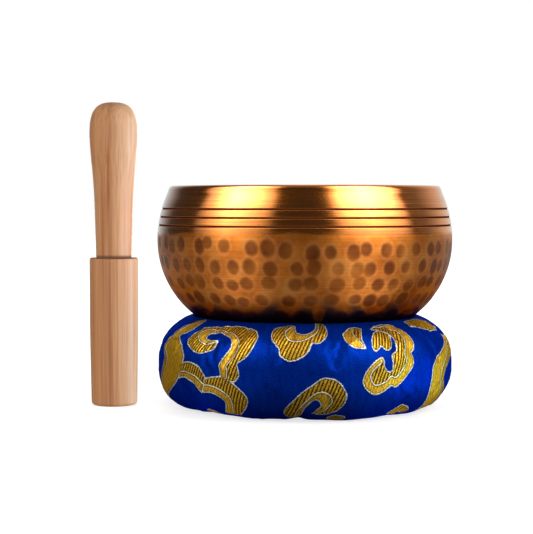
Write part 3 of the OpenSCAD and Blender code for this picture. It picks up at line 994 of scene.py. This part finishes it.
def brocade():
    """Polyester satin brocade: cobalt satin ground, scrolls in gold weft, and silver cords round them.

    The eye gets broad blue sheen across the ring, and gold that glitters in ribs.
    """
    material, tree = new_material("satin_brocade")
    scroll = node(tree, "Attribute", attribute_name="scroll").outputs["Fac"]
    lane = node(tree, "Attribute", attribute_name="lane").outputs["Fac"]
    cloth_at = node(tree, "UVMap", uv_map="cloth")
    # Threads: the satin's yarns are 0.2 mm apart, drawn at 0.35 mm so that they show.
    yarn_at = node(tree, "VectorMath", {0: cloth_at, 1: (2.9, 1.7, 0)}, operation="MULTIPLY")
    yarn = node(tree, "TexNoise", {"Vector": yarn_at, "Scale": 1.0, "Detail": 3.0})
    slub_at = node(tree, "VectorMath", {0: cloth_at, 1: (0.5, 0.12, 0)}, operation="MULTIPLY")
    slub = node(tree, "TexNoise", {"Vector": slub_at, "Scale": 1.0, "Detail": 3.0})
    satin = node(tree, "ValToRGB", {"Fac": yarn}, ramp=[
        (0.3, "#021C68"), (0.55, "#022E9A"), (0.75, "#023CB4")])
    tone = node(tree, "ValToRGB", {"Fac": slub}, ramp=[(0.35, "#E0E0E8"), (0.6, "#FFFFFF")])
    satin = node(tree, "Mix", {0: 1.0, 6: satin, 7: tone}, data_type="RGBA", blend_type="MULTIPLY")
    # Ribs of the gold weft: 1.3 mm apart, leaning 68 degrees, tied down by dark points along each.
    lean = node(tree, "VectorRotate", {"Vector": cloth_at, "Angle": math.radians(22)},
                rotation_type="Z_AXIS")
    split = node(tree, "SeparateXYZ", {0: lean})
    wobble = node(tree, "TexNoise", {"Vector": cloth_at, "Scale": 1.1, "Detail": 2.0})
    rib_x = node(tree, "Math", {0: wobble, 1: 0.5, 2: split.outputs["X"]}, operation="MULTIPLY_ADD")
    tie_y = node(tree, "Math", {0: wobble, 1: 0.8, 2: split.outputs["Y"]}, operation="MULTIPLY_ADD")
    offs = []
    for place_along, step in ((rib_x, 1.3), (tie_y, 0.85)):
        turn = node(tree, "Math", {0: place_along, 1: 1 / step}, operation="MULTIPLY")
        turn = node(tree, "Math", {0: turn}, operation="FRACT")
        turn = node(tree, "Math", {0: turn, 1: 0.5}, operation="SUBTRACT")
        offs.append(node(tree, "Math", {0: turn}, operation="ABSOLUTE"))
    rib_off, tie_off = offs
    tie_wide = node(tree, "Math", {0: tie_off, 1: 0.3, 2: 0.06}, operation="MULTIPLY_ADD")
    rib_dark = node(tree, "Math", {0: rib_off, 1: tie_wide}, operation="SUBTRACT")
    rib_dark = node(tree, "MapRange", {
        "Value": rib_dark, "From Min": 0.2, "From Max": 0.02}, interpolation_type="SMOOTHSTEP")
    ribbed = node(tree, "MapRange", {
        "Value": lane, "From Min": 0.1, "From Max": 0.4, "To Min": 0.3}, interpolation_type="SMOOTHSTEP")
    rib_dark = node(tree, "Math", {0: rib_dark, 1: ribbed}, operation="MULTIPLY")
    weft_at = node(tree, "VectorMath", {0: cloth_at, 1: (3.4, 0.7, 0)}, operation="MULTIPLY")
    weft = node(tree, "TexNoise", {"Vector": weft_at, "Scale": 1.0, "Detail": 3.0, "Roughness": 0.6})
    gold = node(tree, "ValToRGB", {"Fac": weft}, ramp=[
        (0.28, "#6E4A10"), (0.44, "#B2821E"), (0.58, "#E0B032"), (0.74, "#FFE870")])
    gold = node(tree, "Mix", {0: rib_dark, 6: gold, 7: linear("#3E2C0C")}, data_type="RGBA")
    # Cords: half a millimetre wide, silver, with a dark line of painted shadow on the gold just inside
    # them.
    tooth = node(tree, "TexNoise", {"Vector": cloth_at, "Scale": 1.3, "Detail": 0.0})
    scroll = node(tree, "Math", {0: tooth, 1: 0.5, 2: scroll}, operation="MULTIPLY_ADD")
    scroll = node(tree, "Math", {0: scroll, 1: 0.25}, operation="SUBTRACT")
    edge_off = node(tree, "Math", {0: scroll}, operation="ABSOLUTE")
    lane_off = node(tree, "Math", {0: lane}, operation="ABSOLUTE")
    in_scroll = node(tree, "MapRange", {
        "Value": scroll, "From Min": -0.1, "From Max": 0.1}, interpolation_type="SMOOTHSTEP")
    far_lane = node(tree, "MapRange", {
        "Value": in_scroll, "From Min": 0.0, "From Max": 1.0, "To Min": 3.0, "To Max": 0.0})
    lane_here = node(tree, "Math", {0: lane_off, 1: far_lane}, operation="ADD")
    cord_off = node(tree, "Math", {0: edge_off, 1: lane_here}, operation="MINIMUM")
    cord = node(tree, "MapRange", {
        "Value": cord_off, "From Min": 0.34, "From Max": 0.14}, interpolation_type="SMOOTHSTEP")
    # Painted shadow: a dark line on the gold beside each cord.
    cord_painted_shadow = node(tree, "MapRange", {
        "Value": cord_off, "From Min": 0.72, "From Max": 0.5}, interpolation_type="SMOOTHSTEP")
    cord_painted_shadow = node(tree, "Math", {0: cord_painted_shadow, 1: 0.65}, operation="MULTIPLY")
    gold = node(tree, "Mix", {0: cord_painted_shadow, 6: gold, 7: linear("#3A2E14")}, data_type="RGBA")
    base = node(tree, "Mix", {0: in_scroll, 6: satin, 7: gold}, data_type="RGBA")
    twist_at = node(tree, "VectorMath", {0: cloth_at, 1: (2.4, 2.4, 0)}, operation="MULTIPLY")
    twist = node(tree, "TexNoise", {"Vector": twist_at, "Scale": 1.0, "Detail": 1.0})
    silver = node(tree, "ValToRGB", {"Fac": twist}, ramp=[
        (0.3, "#6E6A4C"), (0.46, "#B8B294"), (0.62, "#F2EFDC")])
    base = node(tree, "Mix", {0: cord, 6: base, 7: silver}, data_type="RGBA")
    metal = node(tree, "Mix", {0: in_scroll, 2: 0.36, 3: 0.72}, data_type="FLOAT")
    rough = node(tree, "Mix", {0: in_scroll, 2: 0.42, 3: 0.44}, data_type="FLOAT")
    # Dyed yarn throws its own colour back, so the gloss is blue on the ground and warm on the scrolls.
    tint = node(tree, "Mix", {
        0: in_scroll, 6: linear("#0058FF"), 7: linear("#FFD890")}, data_type="RGBA")
    relief = node(tree, "Math", {0: yarn, 1: 0.00003}, operation="MULTIPLY")
    relief = node(tree, "Math", {0: cord, 1: 0.00018, 2: relief}, operation="MULTIPLY_ADD")
    sunk = node(tree, "Math", {0: rib_dark, 1: in_scroll}, operation="MULTIPLY")
    relief = node(tree, "Math", {0: sunk, 1: -0.00012, 2: relief}, operation="MULTIPLY_ADD")
    bump = node(tree, "Bump", {"Height": relief, "Strength": 0.8, "Distance": 1.0})
    shader = node(tree, "BsdfPrincipled", {
        "Base Color": base, "Metallic": metal, "Roughness": rough, "Normal": bump,
        "Specular IOR Level": 0.0, "Specular Tint": tint})
    node(tree, "OutputMaterial", {"Surface": shader})
    return material


def make_cover():
    """The brocade cover: a skin of 0.7 mm cloth, whose long edges meet at the slit in the hole."""
    total = OUTLINE_S[-1]
    fine_low, fine_high = MID_WALL_S - 26, MID_WALL_S + 28
    outer_at = np.unique(np.concatenate([
        np.linspace(0, fine_low, int(fine_low / 1.5)),
        np.linspace(fine_low, fine_high, 98),
        np.linspace(fine_high, total, int((total - fine_high) / 1.3))]))
    inner_at = np.linspace(total, 0, 26)
    spin = spins(COVER_COLUMNS)
    u = (spin[:, None] + 0 * outer_at[None, :]) * RING_R
    u = np.where(u > math.pi * RING_R, u - 2 * math.pi * RING_R, u)
    v = (outer_at - MID_WALL_S)[None, :] + 0 * u
    scroll, lane = chart(u.ravel(), v.ravel())
    # The gold weft stands a little above the satin.
    raised = smooth(scroll, -0.5, 0.5).reshape(u.shape) * 0.16
    outer = off_skin(outer_at, cushion_offset(spin, outer_at) + raised)
    inner = off_skin(inner_at, cushion_offset(spin, inner_at) - CLOTH)
    r, z = (np.concatenate(pair, 1) for pair in zip(outer, inner))
    rows = r.shape[1]
    cover = new_object("brocade_cover", round_ring(r, np.maximum(z, 0.02), spin),
                       tube_faces(COVER_COLUMNS, rows), material=brocade())
    mesh = cover.data
    for name, charted, plain in (("scroll", scroll, -CHART_REACH), ("lane", lane, CHART_REACH)):
        values = np.full((COVER_COLUMNS, rows), plain)
        values[:, :len(outer_at)] = charted.reshape(u.shape)
        write_values(mesh, name, values.ravel())
    # The cloth's own map is in millimetres: round the ring, and up it.
    all_v = np.concatenate([outer_at, inner_at]) - MID_WALL_S
    corner = np.zeros(len(mesh.loops), np.int32)
    mesh.loops.foreach_get("vertex_index", corner)
    face_column = np.repeat(np.repeat(np.arange(COVER_COLUMNS), rows), 4)
    column = corner // rows
    column = np.where(column < face_column, column + COVER_COLUMNS, column)
    u_corner = column * 2 * math.pi / COVER_COLUMNS * RING_R
    u_corner = np.where(face_column >= COVER_COLUMNS // 2, u_corner - 2 * math.pi * RING_R, u_corner)
    uv = np.stack([u_corner, all_v[corner % rows]], 1)
    layer = mesh.uv_layers.new(name="cloth")
    layer.data.foreach_set("uv", uv.astype(np.float32).ravel())
    place(cover, "cushion", "cushion_cover", "brocade")
    return cover


def cotton_wadding():
    """Cotton wadding, which gives the eye off-white matted fibres with no gloss."""
    material, tree = new_material("cotton_wadding")
    place_at = node(tree, "TexCoord").outputs["Object"]
    fluff = node(tree, "TexNoise", {"Vector": place_at, "Scale": 900.0, "Detail": 4.0})
    base = node(tree, "ValToRGB", {"Fac": fluff}, ramp=[(0.3, "#D8D2C2"), (0.7, "#F3EFE4")])
    bump = node(tree, "Bump", {"Height": fluff, "Strength": 0.5, "Distance": 0.0004})
    shader = node(tree, "BsdfPrincipled", {
        "Base Color": base, "Roughness": 0.95, "Normal": bump, "Sheen Weight": 0.3})
    node(tree, "OutputMaterial", {"Surface": shader})
    return material


def make_stuffing():
    """The ring of wadding, which fills the cover."""
    at = np.linspace(0.2, OUTLINE_S[-1] - 0.2, WADDING_ROWS)
    spin = spins(WADDING_COLUMNS)
    r, z = off_skin(at, cushion_offset(spin, at) - CLOTH - 0.35)
    made = new_object("wadding", round_ring(r, z, spin), tube_faces(WADDING_COLUMNS, WADDING_ROWS),
                      material=cotton_wadding())
    place(made, "cushion", "stuffing", "cotton_wadding")
    return made


# ---------------------------------------------------------------- stitches

def stitching_tree():
    """A stitch at each point. The point's along is the way it runs, and out is away from the cloth."""
    tree, given = new_tree("stitching", {
        "Length": ("Float", STITCH_L * MM), "Thread": ("Float", THREAD_D * MM),
        "Material": ("Material", None)})
    half = node(tree, "Math", {0: given["Length"], 1: 0.5}, operation="MULTIPLY")
    back = node(tree, "Math", {0: half, 1: -1.0}, operation="MULTIPLY")
    start = node(tree, "CombineXYZ", {"X": back})
    end = node(tree, "CombineXYZ", {"X": half})
    rod = node(tree, "GeometryNodeCurvePrimitiveLine", {"Start": start, "End": end})
    rod = node(tree, "GeometryNodeResampleCurve", {"Curve": rod, "Count": 9})
    share = node(tree, "GeometryNodeSplineParameter").outputs["Factor"]
    middle = node(tree, "Math", {0: share, 1: -0.5}, operation="ADD")
    square = node(tree, "Math", {0: middle, 1: middle}, operation="MULTIPLY")
    # The ends dip into the cloth by half a thread.
    dip = node(tree, "Math", {0: square, 1: -1.2}, operation="MULTIPLY")
    dip = node(tree, "Math", {0: dip, 1: given["Thread"]}, operation="MULTIPLY")
    rod = node(tree, "GeometryNodeSetPosition", {
        "Geometry": rod, "Offset": node(tree, "CombineXYZ", {"Z": dip})})
    radius = node(tree, "Math", {0: square, 1: 4.0}, operation="MULTIPLY")
    radius = node(tree, "Math", {0: radius, 1: 3.0}, operation="POWER")
    radius = node(tree, "Math", {0: 1.0, 1: radius}, operation="SUBTRACT")
    radius = node(tree, "Math", {0: radius, 1: 0.55, 2: 0.45}, operation="MULTIPLY_ADD")
    rod = node(tree, "GeometryNodeSetCurveRadius", {"Curve": rod, "Radius": radius})
    ring_r = node(tree, "Math", {0: given["Thread"], 1: 0.5}, operation="MULTIPLY")
    ring = node(tree, "GeometryNodeCurvePrimitiveCircle", {"Resolution": 8, "Radius": ring_r})
    thread = node(tree, "GeometryNodeCurveToMesh", {
        "Curve": rod, "Profile Curve": ring.outputs["Curve"], "Scale": radius, "Fill Caps": True})
    run = node(tree, "GeometryNodeInputNamedAttribute", {"Name": "along"}, data_type="FLOAT_VECTOR")
    out = node(tree, "GeometryNodeInputNamedAttribute", {"Name": "out"}, data_type="FLOAT_VECTOR")
    turn = node(tree, "FunctionNodeAxesToRotation", {0: out, 1: run}, primary_axis="Z", secondary_axis="X")
    points = node(tree, "GeometryNodeMeshToPoints", {"Mesh": given["Geometry"]})
    many = node(tree, "GeometryNodeInstanceOnPoints", {
        "Points": points, "Instance": thread, "Rotation": turn})
    real = node(tree, "GeometryNodeRealizeInstances", {"Geometry": many})
    shaded = node(tree, "GeometryNodeSetShadeSmooth", {"Geometry": real, "Shade Smooth": True})
    finish = node(tree, "GeometryNodeSetMaterial", {"Geometry": shaded, "Material": given["Material"]})
    node(tree, "NodeGroupOutput", {"Geometry": finish})
    return tree


def sewing_thread():
    """Spun polyester thread, which gives the eye twisted plies with a slight gloss, in a dull blue."""
    material, tree = new_material("sewing_thread")
    place_at = node(tree, "TexCoord").outputs["Object"]
    # Plies: 0.25 mm thick, drawn at 0.4 mm so that they show.
    ply = node(tree, "TexNoise", {"Vector": place_at, "Scale": 2600.0, "Detail": 1.0})
    base = node(tree, "ValToRGB", {"Fac": ply}, ramp=[(0.35, "#0A2466"), (0.65, "#2450B4")])
    bump = node(tree, "Bump", {"Height": ply, "Strength": 0.6, "Distance": 0.0001})
    shader = node(tree, "BsdfPrincipled", {
        "Base Color": base, "Roughness": 0.6, "Normal": bump, "Sheen Weight": 0.3})
    node(tree, "OutputMaterial", {"Surface": shader})
    return material


def make_stitches(name, places, runs, outs, replaced, tree, thread):
    made = new_object(name + "_places", places)
    write_values(made.data, "along", runs)
    write_values(made.data, "out", outs)
    add_tree(made, tree, {"Length": STITCH_L * MM, "Thread": THREAD_D * MM, "Material": thread})
    stitches = bake(made, name)
    place(stitches, "cushion", replaced, "sewing_thread")
    return stitches


def sew():
    tree, thread = stitching_tree(), sewing_thread()
    places, runs, outs = [], [], []
    r = HOLE_R - THREAD_GAP - THREAD_D / 2
    for i in range(CLOSING_COUNT):
        a = (i + 0.5) * 2 * math.pi / CLOSING_COUNT
        places.append((r * math.cos(a), r * math.sin(a), SLIT_Z))
        runs.append((0, 0, 1))
        outs.append((-math.cos(a), -math.sin(a), 0))
    closing = make_stitches("closing_thread", places, runs, outs, "closing_stitches", tree, thread)
    # The join at the back runs from under the ring to the bowl: one stitch in the middle of the wall,
    # five below it and up to seven above.
    places, runs, outs = [], [], []
    at = MID_WALL_S + np.concatenate([
        -4.0 - JOIN_PITCH * np.arange(5), [0.0], 4.0 + JOIN_PITCH * np.arange(7)])
    points, out = skin(at)
    lift = cushion_offset(np.array([math.pi]), at)[0] + THREAD_D / 2
    for k in range(len(at)):
        r, z = points[k] + out[k] * lift[k]
        if math.dist((r, z), (BASE_R, BELLY_Z)) > LOWER_ARC_R + JOIN_CLEAR:
            places.append((0, r, z))
            runs.append((1, 0, 0))
            outs.append((0, out[k][0], out[k][1]))
    join = make_stitches("join_thread", places, runs, outs, "join_stitches", tree, thread)
    return closing, join


# ---------------------------------------------------------------- studio

def panel_light(tree, share):
    """How bright the two panels are at a share of the way round: 0.5 is in front, and 0 and 1 behind."""
    return node(tree, "ValToRGB", {"Fac": share}, ramp=[
        (0.228, 0.0), (0.243, 0.14), (0.269, 0.32), (0.318, 0.9), (0.372, 0.42), (0.408, 0.16), (0.43, 0.0),
        (0.545, 0.0), (0.56, 0.04), (0.575, 0.25), (0.592, 0.5), (0.652, 1.0), (0.715, 0.6), (0.738, 0.3),
        (0.755, 0.0)])


def make_floor():
    """A white sweep of paper. It is white to the camera, and greyer to everything that it lights."""
    half, top = 3000.0, -0.02
    corner_places = [(-half, -half, top), (half, -half, top), (half, half, top), (-half, half, top)]
    floor = new_object("floor", corner_places, [(0, 1, 2, 3)])
    material, tree = new_material("paper_sweep")
    seen = node(tree, "LightPath").outputs["Is Camera Ray"]
    tone = node(tree, "Mix", {0: seen, 6: linear("#808080"), 7: linear("#C8C8C8")}, data_type="RGBA")
    paper = node(tree, "BsdfDiffuse", {"Color": tone})
    away = node(tree, "VectorMath", {0: node(tree, "TexCoord").outputs["Object"]},
                operation="LENGTH").outputs["Value"]
    white = node(tree, "MapRange", {
        "Value": away, "From Min": 0.1, "From Max": 0.45, "To Min": 0.72, "To Max": 1.0})
    glow = node(tree, "Emission", {
        "Color": linear("#FFFFFF"),
        "Strength": node(tree, "Math", {0: seen, 1: white}, operation="MULTIPLY")})
    lit_paper = node(tree, "AddShader", {0: paper, 1: glow})
    # The paper glows for reflections alone: a painted pool of light, brightest where the two panels would
    # shine on it, which the bronze mirrors.
    mirrored = node(tree, "LightPath").outputs["Is Glossy Ray"]
    across = node(tree, "SeparateXYZ", {0: node(tree, "TexCoord").outputs["Object"]})
    front = node(tree, "Math", {0: across.outputs["Y"], 1: -1.0}, operation="MULTIPLY")
    azimuth = node(tree, "Math", {0: across.outputs["X"], 1: front}, operation="ARCTAN2")
    share = node(tree, "Math", {0: azimuth, 1: 0.65 / math.pi, 2: 0.5}, operation="MULTIPLY_ADD")
    side = node(tree, "Math", {0: panel_light(tree, share), 1: 0.7, 2: 0.12}, operation="MULTIPLY_ADD")
    sheen = node(tree, "Emission", {
        "Color": linear("#FFFFFF"),
        "Strength": node(tree, "Math", {0: mirrored, 1: side}, operation="MULTIPLY")})
    both = node(tree, "AddShader", {0: lit_paper, 1: sheen})
    node(tree, "OutputMaterial", {"Surface": both})
    floor.data.materials.append(material)
    return floor


def make_world():
    """White to the camera. The bronze mirrors a room: dark in front and at the sides, and pale behind."""
    world = bpy.data.worlds.new("studio")
    bpy.context.scene.world = world
    world.use_nodes = True
    tree = world.node_tree
    tree.nodes.clear()
    way = node(tree, "SeparateXYZ", {0: node(tree, "TexCoord").outputs["Generated"]})
    back = node(tree, "Math", {0: way.outputs["Y"], 1: -1.0}, operation="MULTIPLY")
    azimuth = node(tree, "Math", {0: way.outputs["X"], 1: back}, operation="ARCTAN2")
    share = node(tree, "Math", {0: azimuth, 1: 0.5 / math.pi, 2: 0.5}, operation="MULTIPLY_ADD")
    room = node(tree, "ValToRGB", {"Fac": share}, ramp=[
        (0.0, "#D3E2E3"), (0.05, "#C6D8DC"), (0.09, "#A0B4C0"), (0.11, "#7C8E9C"), (0.135, "#484C52"),
        (0.16, 0.055), (0.5, 0.055), (0.755, 0.09), (0.77, 0.17), (0.8, 0.2), (0.83, "#A4A49C"),
        (0.865, "#CEC8B4"), (0.91, "#DED6C6"), (1.0, "#E0E2DC")])
    # Two tall bright panels stand in the dark part, strongest in their middles and towards their tops.
    lift = node(tree, "ValToRGB", {"Fac": way.outputs["Z"]}, ramp=[
        (0.0, 0.1), (0.14, 0.2), (0.34, 0.34), (0.5, 0.7), (0.62, 1.0), (0.87, 1.0), (0.92, 0.0)])
    mirrored = node(tree, "LightPath").outputs["Is Glossy Ray"]
    glow = panel_light(tree, share)
    for factor in (lift, mirrored, PANEL_GLOW):
        glow = node(tree, "Math", {0: glow, 1: factor}, operation="MULTIPLY")
    high = node(tree, "MapRange", {
        "Value": way.outputs["Z"], "From Min": 0.75, "From Max": 0.98, "To Min": 0.0, "To Max": 0.5})
    room = node(tree, "Mix", {0: high, 6: room, 7: (0.6, 0.6, 0.62, 1)}, data_type="RGBA")
    room = node(tree, "Mix", {0: 1.0, 6: room, 7: glow}, data_type="RGBA", blend_type="ADD")
    seen = node(tree, "LightPath").outputs["Is Camera Ray"]
    colour = node(tree, "Mix", {0: seen, 6: room, 7: (1, 1, 1, 1)}, data_type="RGBA")
    node(tree, "OutputWorld", {"Surface": node(tree, "Background", {"Color": colour})})


def lit_group(name, pieces):
    """A collection that lights are kept to."""
    made = bpy.data.collections.new(name)
    for piece in pieces:
        made.objects.link(piece)
    return made


def area_light(name, width, height, aimed_at, azimuth, distance, radiance, lit, colour=(1, 1, 1)):
    """An upright soft light, this far from what it is aimed at, which only the group lit receives.

    Sizes are in metres, and the azimuth is in degrees from the front, towards +X.
    """
    light = bpy.data.lights.new(name, "AREA")
    light.shape = "RECTANGLE"
    light.size = width
    light.size_y = height
    light.color = colour
    light.energy = radiance * math.pi * width * height
    made = bpy.data.objects.new(name, light)
    bpy.context.scene.collection.objects.link(made)
    a = math.radians(azimuth)
    away = Vector((math.sin(a), -math.cos(a), 0))
    made.location = away * distance + Vector(aimed_at)
    made.rotation_mode = "QUATERNION"
    made.rotation_quaternion = away.to_track_quat("Z", "Y")
    made.visible_camera = False
    made.light_linking.receiver_collection = lit
    return made


def make_softbox(name, start, end, low, high, distance, radiance, lit):
    """A soft light on the bowl for cloth and wood, which no gloss mirrors.

    It spans the azimuths from start to end, and the heights from low to high, in degrees from BOWL_LEVEL.
    """
    width = 2 * distance * math.tan(math.radians((end - start) / 2))
    low, high = distance * math.tan(math.radians(low)), distance * math.tan(math.radians(high))
    made = area_light(name, width, high - low, (0, 0, BOWL_LEVEL + (low + high) / 2), (start + end) / 2,
                      distance, radiance, lit)
    made.visible_glossy = False
    return made


def make_lights(bowl, mallet, cover, wadding, closing, join, floor):
    """Softboxes for all but the mallet, one low glow for the satin, and the mallet's own three lights."""
    rest = lit_group("lit_rest", (bowl, cover, wadding, closing, join, floor))
    make_softbox("softbox_left", -87, -29, 8, 50, 1.0, 1.6, rest)
    make_softbox("softbox_right", 27, 83, 8, 50, 1.0, 2.6, rest)
    make_softbox("softbox_front", -22, 22, 14, 46, 1.1, 1.1, rest)
    # The satin mirrors one low panel at its right, which nothing else blocks.
    satin = lit_group("lit_satin", (cover,))
    glow = make_softbox("satin_glow", 78, 110, -24, -2, 1.2, 17.0, satin)
    glow.data.color = (0.5, 0.8, 1.0)
    glow.visible_glossy = True
    glow.visible_diffuse = False
    glow.light_linking.blocker_collection = satin
    make_softbox("softbox_back", 140, 220, 8, 60, 1.1, 1.3, rest)
    # The bowl doesn't block the stick's lights, from its right, the front and behind.
    only = lit_group("lit_mallet", (mallet,))
    for name, azimuth, size, radiance, colour in (
            ("mallet_key", 88, 0.5, 19.0, (0.76, 0.98, 1.22)),
            ("mallet_fill", -20, 0.9, 3.2, (1.0, 0.98, 0.95)),
            ("mallet_back", 185, 0.9, 3.4, (1.0, 1.0, 1.0))):
        made = area_light(name, size, size, (MALLET_X * MM, 0, 0.02), azimuth, 1.0, radiance, only,
                          colour)
        made.light_linking.blocker_collection = only


def make_camera():
    """The camera stands a little above the bowl's belly and looks slightly down."""
    data = bpy.data.cameras.new("camera")
    data.lens = CAMERA_LENS
    data.sensor_width = 36.0
    camera = bpy.data.objects.new("camera", data)
    bpy.context.scene.collection.objects.link(camera)
    camera.location = CAMERA_AT
    camera.rotation_euler = (math.radians(90 - CAMERA_DOWN), 0, 0)
    bpy.context.scene.camera = camera


turning = turning_tree()
bowl = make_bowl(turning, hammering_tree())
mallet = make_mallet(turning)
cover = make_cover()
wadding = make_stuffing()
closing, join = sew()
floor = make_floor()
make_world()
make_lights(bowl, mallet, cover, wadding, closing, join, floor)
make_camera()
bpy.context.scene.view_settings.view_transform = "Standard"
